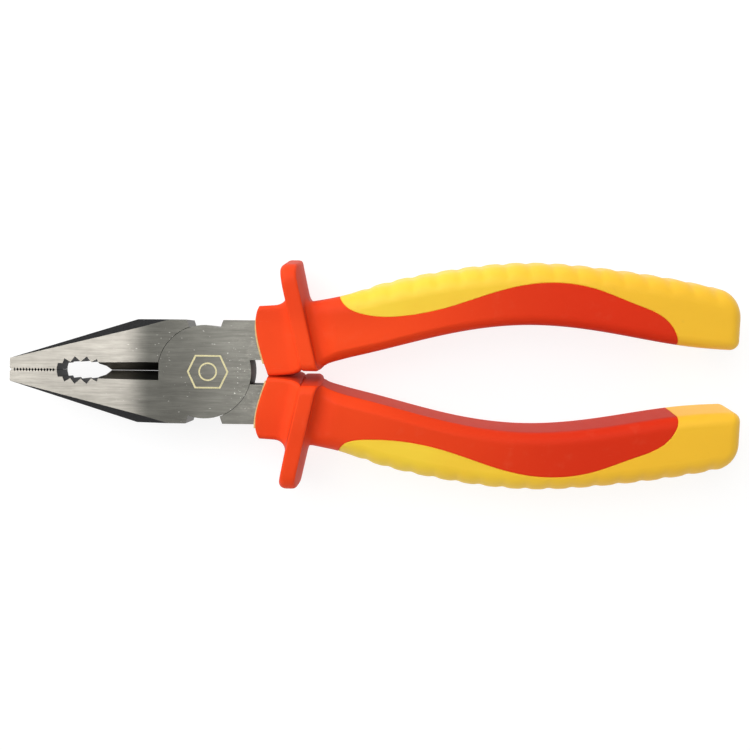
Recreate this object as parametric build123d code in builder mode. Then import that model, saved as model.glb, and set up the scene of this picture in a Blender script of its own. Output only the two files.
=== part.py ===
"""Insulated lineman pliers, 200 mm long, jaws closed.

The tool lies flat. The origin is on the pivot axis, at the ground back face of the head.
+X runs from the pivot towards the handles, and +Z leaves the front face of the head.
The fixed half has the lower jaw (-Y) and the upper handle (+Y). The moving half is the
same half turned over about the tool's long axis, as the two forgings really are.
"""

import os
from math import cos, radians, sin, tan

from build123d import *

# ---- head -----------------------------------------------------------------------
head_thickness = 12.0
head_half_width = 14.0
disc_radius = 12.6           # each half's round lap disc
disc_clearance = 0.12        # round the disc, between the halves
lap_gap = 0.06               # between the two lap faces
jaw_length = 53.0            # pivot to tip
tip_half_width = 3.1
tip_chamfer = 0.4
jaw_gap = 0.08               # between the closed jaws
jaw_flat_start = 18.6        # where the sloping outer edge reaches the full width
shoulder_angle = 19.5        # of each stop shoulder, from the cross axis

# ---- ground jaw faces -------------------------------------------------------------
taper_lead = 4.4             # lap disc to where the faces start to thin
tip_thickness = 8.6
taper_blend = 110.0          # radius that blends the taper into the flat
bevel_end = 9.6              # where the forged bevel runs out
bevel_depth = 2.8            # its depth at the widest place

# ---- serrations, pipe grip and cutters ----------------------------------------------
serration_pitch = 0.82
serration_width = 0.66
serration_depth = 0.45
serration_margin = 0.9       # plain jaw left at the tip
serration_gap = 0.9          # from the pipe grip to the first serration
pipe_grip_start = 40.1       # its tip end, from the pivot
pipe_grip_end = 27.2
pipe_root_count = 5
pipe_root_height = 3.8       # half opening between the tooth roots
pipe_tip_height = 2.3        # half opening between the tooth tips
pipe_tip_inset = 0.65        # of the tips' oval, at each end
pipe_first_root = 18.0       # degrees round the oval
pipe_root_step = 29.3
pipe_mouth_depth = 0.6       # of the step at the tip end
pipe_throat = (0.9, 1.2)     # length and depth of the slope into the cutters
cutter_half_width = 2.4      # of the V at the ground face
cutter_land = 0.2            # left at the cutting edge
cutter_bite = 0.25           # of the V's end, into the lap disc

# ---- pivot rivet --------------------------------------------------------------------
rivet_radius = 3.2
rivet_head_radius = 4.6
rivet_head_depth = 1.6
rivet_clearance = 0.03       # in the moving half

# ---- tangs and their insulating liners ------------------------------------------------
neck_inner = 3.3             # the neck's inner edge, from the long axis
neck_length = 5.9            # of the full thickness, behind the sleeve's mouth
tang_thickness = 8.4
tang_overlap = 4.0           # of the tang's outline, into the neck
tang_cover = 4.3             # handle surface to tang, across the handle
tang_rear_cover = 12.5
liner_wall = 1.0
liner_end_wall = 1.5
liner_lip = 0.5              # of the liner, out of the sleeve's mouth

# ---- handles --------------------------------------------------------------------------
mouth_clearance = 1.5        # lap disc to the sleeve's mouth
collar_cover = 3.3           # neck to the collar's outer edge
handle_length = 130.1        # mouth to rear end
handle_gap = 0.36            # between the two handles where they come closest
handle_roll = 8.0            # of each moulded handle about its own length, in degrees
roll_centre = 16.0           # long axis to the line that all behind the collar rolls about
handle_round = 3.2           # of the long edges
end_round = 3.5
sleeve_wall = 1.7            # over the liner, along Z
heel = 8.0                   # mouth to where the inner edge leaves the long axis
guard_lean = 12.5            # of the guard's plate towards the jaws, from the cross axis
guard_place = (11.3, 14.0)   # a point on its middle plane, from the mouth and long axis
guard_outer = 30.3           # the guard's reach from the long axis
guard_inner = 2.2
guard_rise = 3.1             # above the handle, along Z
guard_wall = 4.2
guard_corner = 5.0
guard_edge = 0.8
grip_depth = 2.2             # of the soft grip, into the sleeve
rib_start = 15.7             # along the outer edge, from the neck behind the guard
rib_rear = 23.0              # smooth length of that edge at the rear
rib_pitch = 5.9
rib_depth = 0.45
rib_radius = 5.0

# The upper handle before it is rolled, seen from above: share of the handle's length behind
# the mouth, and distance from the long axis. The edges run on past the square rear end.
outer_edge = [(0.112, 19.7), (0.223, 23.1), (0.392, 28.0), (0.561, 30.4),
              (0.731, 29.1), (0.900, 25.9), (1.044, 21.8)]
inner_edge = [(0.136, 3.0), (0.223, 6.0), (0.392, 11.6), (0.561, 14.4),
              (0.731, 12.5), (0.900, 9.0), (1.044, 8.0)]
# The soft grip's front edge, from outside the outer edge round to inside the inner edge.
grip_edge = [(0.162, 24.0), (0.182, 18.6), (0.230, 16.6), (0.297, 16.7), (0.395, 19.3),
             (0.492, 23.5), (0.583, 26.0), (0.687, 24.9), (0.781, 20.5), (0.845, 16.3),
             (0.868, 11.0), (0.867, 5.0)]
# The mouth's bulge, from the long axis to the collar's outer edge, in lengths.
mouth_edge = [(3.1, 0.0), (0.8, 7.8), (0.0, 12.5), (0.5, head_half_width + collar_cover)]

# ---- worked out -------------------------------------------------------------------------
reach = 200.0                # past the tool, for cutting blocks
middle = head_thickness / 2
half_gap = handle_gap / 2 + roll_centre * (1 - cos(radians(handle_roll)))
shoulder_x = head_half_width * tan(radians(shoulder_angle))
tip_drop = (head_thickness - tip_thickness) / 2
cutter_end = disc_radius - cutter_bite
taper_start = disc_radius + taper_lead
serration_start = pipe_grip_start + serration_gap
serration_count = int((jaw_length - serration_margin - serration_start) / serration_pitch) + 1
mouth_x = disc_radius + mouth_clearance
handle_end = mouth_x + handle_length
handle_thickness = head_thickness + 2 * (liner_wall + sleeve_wall)
handle_floor = middle - handle_thickness / 2
neck_end = mouth_x + neck_length
tang_end = handle_end - tang_rear_cover
guard_middle = Location((mouth_x + guard_place[0], guard_place[1], 0), (0, 0, guard_lean))
side_plane = Plane((0, 0, middle), x_dir=(1, 0, 0), z_dir=(0, -1, 0))
long_axis = Axis((0, 0, middle), (1, 0, 0))
roll_axis = Axis((0, roll_centre, middle), (1, 0, 0))
collar_axis = Axis((0, (head_half_width + collar_cover) / 2, middle), (1, 0, 0))


def stations(shares):
    """Points of the handle's outline from shares of its length."""
    return [(mouth_x + share * handle_length, y) for share, y in shares]


def shifted(points, dy, dx=0.0):
    """The points moved by dy and dx, and kept half the handle gap off the long axis."""
    return [(x + dx, max(y + dy, half_gap)) for x, y in points]


outer_line = stations(outer_edge)
inner_line = stations(inner_edge)
grip_line = stations(grip_edge)
mouth_line = [(mouth_x + x, y) for x, y in mouth_edge]


def handle_face(shrink):
    """The handle's outline, its outer, inner and rear edges moved in by shrink."""
    mouth = shifted(mouth_line, 0)
    outer = shifted(outer_line, -shrink)
    inner = shifted(inner_line, shrink)
    with BuildSketch() as face:
        with BuildLine():
            Spline(*mouth)
            Line(mouth[-1], outer[0])
            Spline(*outer)
            Line(outer[-1], inner[-1])
            Spline(*inner)
            Polyline(inner[0], (mouth_x + heel, half_gap), mouth[0])
        make_face()
        with Locations((handle_end - shrink, 0)):
            Rectangle(reach, reach, align=(Align.MIN, Align.CENTER), mode=Mode.SUBTRACT)
        fillet(face.vertices().group_by(Axis.X)[-1], end_round)
    return face.sketch


def tang_face(wall, end):
    """The outline of the tang and of a wall round it, from the neck to end."""
    cover = tang_cover - wall
    start = neck_end - tang_overlap
    outer = [(start, head_half_width + wall), *shifted(outer_line, -cover)]
    inner = [(start, neck_inner - wall), *shifted(inner_line, cover)]
    with BuildSketch() as face:
        with BuildLine():
            Spline(*outer)
            Line(outer[-1], inner[-1])
            Spline(*inner)
            Line(inner[0], outer[0])
        make_face()
        with Locations((end, 0)):
            Rectangle(reach, reach, align=(Align.MIN, Align.CENTER), mode=Mode.SUBTRACT)
    return face.sketch


def behind_mouth(lip):
    """All the ground behind the sleeve's mouth, and lip in front of it."""
    mouth = shifted(mouth_line, 0, -lip)
    with BuildSketch() as face:
        with BuildLine():
            Spline(*mouth)
            Polyline(mouth[-1], (mouth[-1][0], reach), (reach, reach), (reach, half_gap),
                     mouth[0])
        make_face()
    return face.sketch


def rivet_profile(clearance):
    """Half the rivet's section: a shank with a countersunk head at each face."""
    head = rivet_head_radius + clearance
    shank = rivet_radius + clearance
    with BuildSketch(Plane.XZ) as section:
        Polygon((0, 0), (head, 0), (shank, rivet_head_depth),
                (shank, head_thickness - rivet_head_depth), (head, head_thickness),
                (0, head_thickness))
    return section.sketch


# ---- pivot rivet, and the bore that it turns in ---------------------------------------------
with BuildPart() as pivot_rivet:
    add(rivet_profile(0))
    revolve(axis=Axis.Z)

with BuildPart() as running_bore:
    add(rivet_profile(rivet_clearance))
    revolve(axis=Axis.Z)


# ---- one forged half: jaw, lap disc, neck and tang ------------------------------------------
with BuildPart() as tang:
    with BuildSketch(Plane.XY.offset(middle)):
        add(tang_face(0, tang_end))
    extrude(amount=tang_thickness / 2, both=True)

with BuildPart() as lever:
    with BuildSketch():
        Polygon((0, -jaw_gap / 2), (-jaw_length + tip_chamfer, -jaw_gap / 2),
                (-jaw_length, -jaw_gap / 2 - tip_chamfer), (-jaw_length, -tip_half_width),
                (-jaw_flat_start, -head_half_width), (-shoulder_x, -head_half_width))
        Polygon((shoulder_x / 2, head_half_width / 2), (shoulder_x, head_half_width),
                (neck_end, head_half_width), (neck_end, neck_inner),
                (disc_radius / 2, neck_inner))
        Circle(disc_radius)
    extrude(amount=head_thickness)

    # The back half of the thickness is cleared for the other half's disc.
    with BuildSketch():
        Circle(disc_radius + disc_clearance)
    extrude(amount=middle + lap_gap / 2, mode=Mode.SUBTRACT)

    add(tang.part.rotate(roll_axis, handle_roll))

    # Both faces of the jaw are ground thinner towards the tip.
    with BuildSketch(side_plane):
        beyond = jaw_length + 1
        drop = tip_drop * (beyond - taper_start) / (jaw_length - taper_start)
        with BuildLine():
            FilletPolyline((-cutter_end, middle), (-taper_start, middle),
                           (-beyond, middle - drop), radius=taper_blend)
            Polyline((-beyond, middle - drop), (-beyond, head_thickness),
                     (-cutter_end, head_thickness), (-cutter_end, middle))
        make_face()
        mirror(about=Plane.XZ)
    extrude(amount=reach, both=True, mode=Mode.SUBTRACT)

    # A forged bevel runs along the outer edge of the jaw on both faces.
    for side in (1, -1):
        tip = Vector(-jaw_length, -tip_half_width, middle + side * (middle - tip_drop))
        run_out = Vector(-bevel_end, -head_half_width, middle + side * middle)
        widest = Vector(-jaw_flat_start, -head_half_width,
                        middle + side * (middle - bevel_depth))
        outward = (widest - tip).cross(run_out - tip) * side
        split(bisect_by=Plane(tip, z_dir=outward), keep=Keep.BOTTOM)

    # The cutters: each face has a V down to a cutting edge on the middle plane.
    with BuildSketch(Plane.YZ.offset(-cutter_end)):
        land = cutter_land / 2
        rim = cutter_half_width * (head_thickness - land) / (middle - land)
        for side in (1, -1):
            Polygon((0, middle + side * land), (rim, middle + side * head_thickness),
                    (-rim, middle + side * head_thickness))
    extrude(amount=(pipe_grip_start + pipe_grip_end) / 2 - cutter_end, dir=(-1, 0, 0),
            mode=Mode.SUBTRACT)

    # The toothed pipe grip and the fine serrations of the flat jaw.
    with BuildSketch():
        centre = (pipe_grip_start + pipe_grip_end) / 2
        half_length = (pipe_grip_start - pipe_grip_end) / 2
        teeth = [(-pipe_grip_start, jaw_gap), (-pipe_grip_start, -pipe_mouth_depth)]
        for root in range(pipe_root_count):
            turn = radians(pipe_first_root + pipe_root_step * root)
            teeth.append((-centre - half_length * cos(turn),
                          -pipe_root_height * sin(turn) ** 0.6))
            turn += radians(pipe_root_step / 2)
            teeth.append((-centre - (half_length - pipe_tip_inset) * cos(turn),
                          -pipe_tip_height * sin(turn) ** 0.4))
        teeth += [(-pipe_grip_end, -pipe_throat[1]), (-pipe_grip_end + pipe_throat[0], jaw_gap)]
        Polygon(*teeth)
        with Locations(*[(-serration_start - serration_pitch * n, -jaw_gap / 2)
                         for n in range(serration_count)]):
            Polygon((-serration_width / 2, 0), (serration_width / 2, 0),
                    (0, -serration_depth))
    extrude(amount=head_thickness, mode=Mode.SUBTRACT)


# ---- insulating liner on the tang -----------------------------------------------------------
with BuildPart() as tang_wrap:
    with BuildSketch(Plane.XY.offset(middle)):
        add(tang_face(liner_wall, tang_end + liner_end_wall))
    extrude(amount=tang_thickness / 2 + liner_wall, both=True)

with BuildPart() as tang_room:
    add(tang_wrap.part.rotate(roll_axis, handle_roll))
    with BuildSketch(Plane.XY.offset(middle)):
        Polygon((disc_radius, neck_inner - liner_wall),
                (neck_end + liner_wall, neck_inner - liner_wall),
                (neck_end + liner_wall, head_half_width + liner_wall),
                (disc_radius, head_half_width + liner_wall))
    extrude(amount=middle + liner_wall, both=True)

with BuildPart() as lip_block:
    with BuildSketch(Plane.XY.offset(middle)):
        add(behind_mouth(liner_lip))
    extrude(amount=reach, both=True)

with BuildPart() as liner:
    add(tang_room.part)
    add(lip_block.part.rotate(collar_axis, handle_roll), mode=Mode.INTERSECT)
    add(lever.part, mode=Mode.SUBTRACT)


# ---- handle body, from which the sleeve and the soft grip are both cut ------------------------
with BuildPart() as handle:
    with BuildSketch(Plane.XY.offset(handle_floor)):
        add(handle_face(0))
        with Locations(guard_middle):
            Rectangle(reach, reach, align=(Align.MIN, Align.CENTER), mode=Mode.INTERSECT)
    extrude(amount=handle_thickness)
    levels = handle.edges().group_by(Axis.Z)
    fillet((levels[0] + levels[-1]).filter_by(lambda edge: edge.center().X > inner_line[0][0]),
           handle_round)

with BuildPart() as collar:
    with BuildSketch(Plane.XY.offset(handle_floor)):
        add(handle_face(0))
        with Locations(guard_middle):
            Rectangle(reach, reach, align=(Align.MAX, Align.CENTER), mode=Mode.INTERSECT)
    extrude(amount=handle_thickness)

with BuildPart() as guard:
    lean = radians(guard_lean)
    along = Vector(-sin(lean), cos(lean))
    across = Vector(cos(lean), sin(lean))
    guard_origin = (mouth_x + guard_place[0], guard_place[1], middle)
    with BuildSketch(Plane(guard_origin, x_dir=along, z_dir=across)):
        low = (guard_inner - guard_place[1]) / cos(lean)
        high = (guard_outer - guard_place[1]) / cos(lean)
        with Locations(((low + high) / 2, 0)):
            RectangleRounded(high - low, handle_thickness + 2 * guard_rise, guard_corner)
    extrude(amount=guard_wall / 2, both=True)
    faces = guard.faces().sort_by(Axis((0, 0, 0), across))
    fillet(faces[0].edges() + faces[-1].edges(), guard_edge)

with BuildPart() as grip_core:
    with BuildSketch(Plane.XY.offset(handle_floor + grip_depth)):
        add(handle_face(grip_depth))
    extrude(amount=handle_thickness - 2 * grip_depth)

with BuildPart() as grip_room:
    add(handle.part)
    with BuildSketch(Plane.XY.offset(middle)):
        with BuildLine():
            Spline(*grip_line)
            Polyline(grip_line[-1], (reach, grip_line[-1][1]), (reach, reach),
                     (grip_line[0][0], reach), grip_line[0])
        make_face()
    extrude(amount=reach, both=True, mode=Mode.INTERSECT)
    add(grip_core.part, mode=Mode.SUBTRACT)

with BuildPart() as behind_collar:
    add(handle.part)
    add(guard.part)
    add(grip_room.part, mode=Mode.SUBTRACT)

with BuildPart() as sleeve:
    add(behind_collar.part.rotate(roll_axis, handle_roll))
    add(collar.part.rotate(collar_axis, handle_roll))
    add(tang_room.part, mode=Mode.SUBTRACT)


# ---- soft grip, with shallow scallops along its outer edge ------------------------------------
with BuildLine() as back_line:
    back = Spline(*outer_line)

rib_count = int((back.length - rib_rear - rib_start) / rib_pitch) + 1
rib_centres = []
for rib in range(rib_count):
    run = rib_start + rib * rib_pitch
    outward = back.tangent_at(run, PositionMode.LENGTH).rotate(Axis.Z, 90)
    rib_centres.append(back.position_at(run, PositionMode.LENGTH)
                       + outward * (rib_radius - rib_depth))

with BuildPart() as ribbed:
    add(grip_room.part)
    with Locations(*rib_centres):
        Cylinder(rib_radius, reach, mode=Mode.SUBTRACT)

with BuildPart() as grip:
    add(ribbed.part.rotate(roll_axis, handle_roll))


# ---- the two halves ---------------------------------------------------------------------------
os.makedirs("parts", exist_ok=True)
bores = {"fixed": pivot_rivet, "moving": running_bore}
pieces = {"lever": lever, "liner": liner, "sleeve": sleeve, "grip": grip}
for half, turn in (("fixed", 0), ("moving", 180)):
    for name, piece in pieces.items():
        with BuildPart() as finished:
            add(piece.part.rotate(long_axis, turn))
            if name == "lever":
                add(bores[half].part, mode=Mode.SUBTRACT)
        finished.part.label = f"{half}_{name}"
        export_step(finished.part, f"parts/{half}_{name}.step")

pivot_rivet.part.label = "pivot_rivet"
export_step(pivot_rivet.part, "parts/pivot_rivet.step")
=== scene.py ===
"""Insulated lineman pliers: the finished look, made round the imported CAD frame.

The origin is on the pivot axis, at the ground back face of the head. +X runs from the pivot to
the handles and +Z leaves the front face. The moving half is the fixed half turned over about
the tool's long axis, so its mouldings are the same meshes turned over.
"""

from math import cos, pi, radians, sin, tan

import bmesh
import bpy
import numpy as np
from bpy.props import FloatProperty, FloatVectorProperty, IntProperty, PointerProperty
from mathutils import Matrix, Vector


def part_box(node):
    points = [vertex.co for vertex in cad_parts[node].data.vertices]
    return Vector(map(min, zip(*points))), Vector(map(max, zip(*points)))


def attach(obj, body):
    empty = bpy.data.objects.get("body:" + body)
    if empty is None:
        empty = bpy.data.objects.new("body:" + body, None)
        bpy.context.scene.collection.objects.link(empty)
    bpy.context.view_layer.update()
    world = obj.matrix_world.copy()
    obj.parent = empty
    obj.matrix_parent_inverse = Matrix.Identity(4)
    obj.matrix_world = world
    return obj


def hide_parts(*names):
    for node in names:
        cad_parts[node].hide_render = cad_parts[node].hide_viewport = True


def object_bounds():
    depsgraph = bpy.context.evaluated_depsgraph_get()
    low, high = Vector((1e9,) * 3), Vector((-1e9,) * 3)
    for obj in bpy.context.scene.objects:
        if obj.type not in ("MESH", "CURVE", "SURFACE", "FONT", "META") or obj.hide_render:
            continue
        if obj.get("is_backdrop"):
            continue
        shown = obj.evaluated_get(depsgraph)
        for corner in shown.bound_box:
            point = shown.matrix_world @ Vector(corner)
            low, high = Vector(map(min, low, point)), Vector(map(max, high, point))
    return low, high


bl_info = {
    "name": "Insulated lineman pliers",
    "version": (1, 0, 0),
    "blender": (4, 5, 0),
    "location": "3D View > Sidebar > Pliers",
    "description": "Moulded handles, steel finishes and a plain stage for a pair of pliers",
    "category": "Add Mesh",
}

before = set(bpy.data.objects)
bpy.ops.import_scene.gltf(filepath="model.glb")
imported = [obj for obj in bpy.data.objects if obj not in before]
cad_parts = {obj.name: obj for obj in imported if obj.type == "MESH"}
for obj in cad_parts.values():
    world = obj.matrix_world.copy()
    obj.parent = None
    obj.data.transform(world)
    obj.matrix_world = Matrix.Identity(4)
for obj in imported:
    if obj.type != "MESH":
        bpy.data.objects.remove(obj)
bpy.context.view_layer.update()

MM = 0.001
HALVES = ("fixed", "moving")
HEAD_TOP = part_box("pivot_rivet")[1].z / MM
MIDDLE = HEAD_TOP / 2
HANDLE_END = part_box("fixed_grip")[1].x / MM
TANG_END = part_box("fixed_liner")[1].x / MM

LAYERS = ("grip_edge", "rib_run", "rib_weight")

# Rings of a moulding: points on each side, face and corner of its section.
SIDE_POINTS = 14
FACE_POINTS = 24
CORNER_POINTS = 9
RING_POINTS = 2 * (SIDE_POINTS + FACE_POINTS) + 4 * CORNER_POINTS

# The handle's outline before it is rolled, in millimetres from the pivot and the long axis.
OUTER_EDGE = [(28.66, 19.3), (35.5, 20.6), (43.10, 22.9), (65.07, 28.0), (87.05, 30.4),
              (109.16, 29.1), (131.14, 25.9), (149.94, 21.8)]
INNER_EDGE = [(31.84, 2.45), (35.0, 3.75), (43.10, 6.0), (65.07, 11.6), (87.05, 14.4),
              (109.16, 12.5), (131.14, 9.0), (149.94, 8.0)]
COLLAR_OUTER = [(14.0, 17.85), (20.0, 18.25), (24.0, 18.7), (30.0, 20.0)]
COLLAR_INNER = [(14.0, 0.12), (17.3, 0.12), (21.0, 0.35), (25.3, 0.85), (29.0, 1.5), (31.84, 2.45)]
MOUTH_EDGE = [(17.25, -1.0), (17.2, 0.15), (16.3, 3.1), (15.3, 6.3), (14.3, 10.5),
              (14.05, 13.5), (14.2, 15.7), (14.8, 17.6)]
# The soft grip's front edge, from outside the outer edge round to inside the inner edge.
GRIP_EDGE = [(35.15, 24.0), (37.80, 18.6), (44.02, 16.6), (52.76, 16.7), (65.47, 19.3),
             (78.05, 23.5), (89.97, 26.0), (103.47, 24.9), (115.65, 20.5), (123.99, 16.3),
             (127.04, 11.0), (126.90, 5.0)]
# How far from the long axis a moulding's roll axis lies, in its three stretches.
COLLAR_ROLL_AXIS = 8.65
FRONT_ROLL_AXIS = 13.65
HANDLE_ROLL_AXIS = 16.0
# The room inside: near side, far side and half depth at the mouth, and behind it.
NECK_ROOM = (2.3, 15.0, 7.0)
NECK_ROOM_END = 21.0
ROOM_COVER = 3.3
ROOM_DEPTH = 5.2
ROOM_STEP = 6.0
ROOM_END_GAP = 0.05
# Corner radii: towards the palm, and towards the other handle.
COLLAR_ROUNDS = np.array((1.3, 1.0))
FRONT_ROUNDS = np.array((3.5, 2.2))
FACE_ROUNDS = np.array((4.5, 2.4))
PLATE_ROUNDS = (4.6, 2.5)
NECK_ROUND = 3.8
LEAST_ROUNDS = (1.2, 0.9)
# The guard's edge radii, and how far the hollow in front rises, outwards and in depth.
PLATE_EDGE = 0.55
PLATE_INNER_EDGE = 0.3
FRONT_RISE = 2.8
FRONT_LIFT = 2.1
CROWN_WALL = 1.2
# Where a ring's outer and inner edges are read.
OUTER_SIDE = 18.0
INNER_SIDE = 1.0
# The neck's upright side, and where it turns into the handle.
NECK_UPRIGHT = 0.8
NECK_BLEND = 0.4
NECK_DIP_RUN = 5.0
FACET_RUN = 4.0
FACET_FADE = (55.0, 90.0)
# Power of the inner corners behind the guard, and its changes further on.
FACET_POWER = 1.6
FACET_POWER_DROP = 0.35
FACET_POWER_RISE = 0.75
# The rear end's radii, and its closing rings.
INNER_END_ROUND = 2.6
FACE_END_ROUND = 3.2
END_CAP_SHARES = (0.7, 0.35, 0.01)
# Where scallops fade, and how much deeper the sleeve's pocket is than the grip.
SCALLOP_FADE = (0.6, 5.0)
SCALLOP_START = 1.2
POCKET_GAP = 0.04
# Markers that lie past any point of the skin.
FAR = 200.0
PAST_SCALLOPS = 9.0
OFF_HANDLE = -50.0

# The soft lamps: name, place and size in metres, share of the key light's power.
LAMPS = (("key", (-0.28, 0.34, 0.58), 0.8, 1.2),
         ("top", (-0.05, 0.10, 0.80), 0.5, 0.19),
         ("rim", (0.45, -0.35, 0.35), 0.3, 0.04))
LAMP_TARGET = (0.045, 0.0, 0.0)
LENS_SHIFT = (-0.016, -0.044)
FLOOR_RADIUS = 3.0
FLOOR_GAP = 0.0003
HORIZON = (0.12, 0.35)


# ---- what a user would change
def length(name, description, value):
    """A length property whose default is given in millimetres."""
    return FloatProperty(name=name, description=description, default=value * MM, min=0.0,
                         precision=5, unit="LENGTH")


def angle(name, description, value):
    """An angle property whose default is given in degrees."""
    return FloatProperty(name=name, description=description, default=radians(value),
                         unit="ROTATION")


def colour(name, description, value):
    """A colour property whose default is given as three display values up to 255."""
    return FloatVectorProperty(name=name, description=description, default=linear(value),
                               subtype="COLOR", size=3, min=0.0, max=1.0)


def linear(display):
    """Display colour, each value up to 255, as scene-linear values."""
    shares = [value / 255 for value in display]
    return tuple(s / 12.92 if s <= 0.04045 else ((s + 0.055) / 1.055) ** 2.4 for s in shares)


class PLIERS_PG_handle(bpy.types.PropertyGroup):
    """Sizes of the moulded handle bodies."""
    roll: angle("Roll", "Turn of each handle about its own length", 8.0)
    half_depth: length("Half depth", "Half the handle's thickness", 8.7)
    outer_round: length("Outer round", "Radius of the long edges in the palm", 5.0)
    inner_round: length("Inner round", "Radius of the long edges facing the other handle", 3.2)
    facet: length("Facet", "Width of the inner edges' facet behind the guard", 2.7)
    neck_dip: length("Neck dip", "How far the neck dips behind the guard", 1.0)
    end_round: length("End round", "Radius of the rear end's outer corner", 5.2)
    ring_step: length("Ring step", "Distance between the mesh rings", 0.55)


class PLIERS_PG_guard(bpy.types.PropertyGroup):
    """Sizes of the hand guard on each sleeve."""
    lean: angle("Lean", "Lean of the plate towards the jaws", 12.5)
    place: length("Place", "Pivot to the plate's middle", 25.75)
    place_side: length("Side place", "Long axis to the plate's middle", 14.0)
    wall: length("Wall", "Thickness of the plate", 4.2)
    outer: length("Outer reach", "Long axis to the plate's outer end", 30.3)
    inner: length("Inner reach", "Long axis to the plate's inner end", 1.7)
    half_depth: length("Half depth", "Half the plate's size across the tool", 11.8)
    front_sweep: length("Front sweep", "Length of the hollow in front of the plate", 3.4)
    back_sweep: length("Back sweep", "Radius of the hollow behind the plate", 2.0)
    end_round: length("End round", "Radius of the outer end towards the jaws", 2.4)
    crown: length("Crown", "How far the back face swells between its edges", 1.4)


class PLIERS_PG_ribs(bpy.types.PropertyGroup):
    """The scallops along the outer edge of each soft grip."""
    start: length("Start", "Neck to the first scallop, along the edge", 15.7)
    pitch: length("Pitch", "Distance between scallops", 6.3)
    depth: length("Depth", "Depth of a scallop", 0.36)
    count: IntProperty(name="Count", description="Number of scallops", default=16, min=1)


class PLIERS_PG_seam(bpy.types.PropertyGroup):
    """The joint between each red sleeve and its soft grip."""
    width: length("Width", "Half the width of the groove", 0.16)
    depth: length("Depth", "Depth of the groove", 0.2)
    wall: length("Grip wall", "Thickness of the soft grip", 1.9)


class PLIERS_PG_finish(bpy.types.PropertyGroup):
    """Colours of the mouldings and the steel."""
    red: colour("Sleeve red", "Hard insulating plastic", (255, 80, 34))
    # Painted shade: the rear red is set darker than the front red, for the light falling off
    # towards the handles' ends.
    red_rear_shaded: colour("Sleeve red, rear", "The same plastic towards the end", (228, 54, 25))
    yellow: colour("Grip yellow", "Soft grip in front", (252, 213, 55))
    # Painted shade: the rear yellow is set darker than the front yellow, for the light falling off
    # towards the handles' ends.
    yellow_rear_shaded: colour("Grip yellow, rear", "Soft grip towards the end", (254, 197, 42))
    liner: colour("Liner yellow", "Inner insulation at the mouth", (226, 196, 128))
    # Painted light: the jaw steel is set lighter than the joint steel, for how the light falls on
    # the jaws' tapered faces.
    jaw: colour("Jaw steel", "Ground steel of the jaws", (158, 154, 146))
    joint: colour("Joint steel", "Ground steel round the pivot", (106, 105, 99))
    forged: colour("Forged steel", "Oxide on the sides and bevels", (44, 44, 45))
    mark: colour("Mark", "Etched mark on the joint", (214, 205, 160))


class PLIERS_PG_mark(bpy.types.PropertyGroup):
    """A generic etched mark: a long hexagon round a plain ring."""
    length: length("Length", "Size along the tool", 11.2)
    width: length("Width", "Size across the tool", 9.0)
    line: length("Line", "Width of the etched line", 0.42)
    ring: length("Ring", "Radius of the ring", 2.5)
    centre: length("Centre", "Pivot to the mark's middle", 0.9)
    proud: length("Proud", "Height above the steel", 0.012)


class PLIERS_PG_stage(bpy.types.PropertyGroup):
    """Camera and light."""
    distance: length("Distance", "Camera to the middle of the tool", 290.0)
    foot_x: length("Foot, along", "The camera's place along the tool", 49.1)
    foot_y: length("Foot, across", "The camera's place across the tool", 8.6)
    view_width: length("View width", "What the camera sees at the tool", 206.25)
    turn: angle("Turn", "Turn of the camera about its view", 0.7)
    key: FloatProperty(name="Key light", description="Power of the main light in watts",
                       default=4.9, min=0.0)
    fill: FloatProperty(name="Sky", description="Strength of the even light", default=0.18,
                        min=0.0)


# ---- curves and sections
def smooth_line(points, per_span=24):
    """A natural cubic through the points, as a dense array of points."""
    knots = np.array(points, float)
    run = np.concatenate([[0], np.cumsum(np.linalg.norm(np.diff(knots, axis=0), axis=1))])
    gap = np.diff(run)
    count = len(knots)
    matrix = np.eye(count)
    right = np.zeros((count, 2))
    for i in range(1, count - 1):
        matrix[i, i - 1:i + 2] = gap[i - 1], 2 * (gap[i - 1] + gap[i]), gap[i]
        right[i] = 6 * ((knots[i + 1] - knots[i]) / gap[i] - (knots[i] - knots[i - 1]) / gap[i - 1])
    bend = np.linalg.solve(matrix, right)
    line = []
    for i in range(count - 1):
        for t in np.arange(per_span) / per_span:
            b, a = t * gap[i], (1 - t) * gap[i]
            line.append((bend[i] * a ** 3 + bend[i + 1] * b ** 3) / (6 * gap[i])
                        + (knots[i] / gap[i] - bend[i] * gap[i] / 6) * a
                        + (knots[i + 1] / gap[i] - bend[i + 1] * gap[i] / 6) * b)
    line.append(knots[-1])
    return np.array(line)


def ease(value, start, end):
    """0 before start, 1 after end, and a smooth turn between them."""
    t = np.clip((value - start) / (end - start), 0, 1)
    return t * t * (3 - 2 * t)


def put(socket, value):
    """Links a socket to another one, or sets its value."""
    if isinstance(value, bpy.types.NodeSocket):
        socket.id_data.links.new(value, socket)
    else:
        socket.default_value = value


def maths_node(tree, operation, *values):
    """A Math node's result."""
    node = tree.nodes.new("ShaderNodeMath")
    node.operation = operation
    for socket, value in zip(node.inputs, values):
        put(socket, value)
    return node.outputs[0]


def between(first, last, share):
    """The value a share of the way from the first to the last."""
    return first + (last - first) * share


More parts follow.
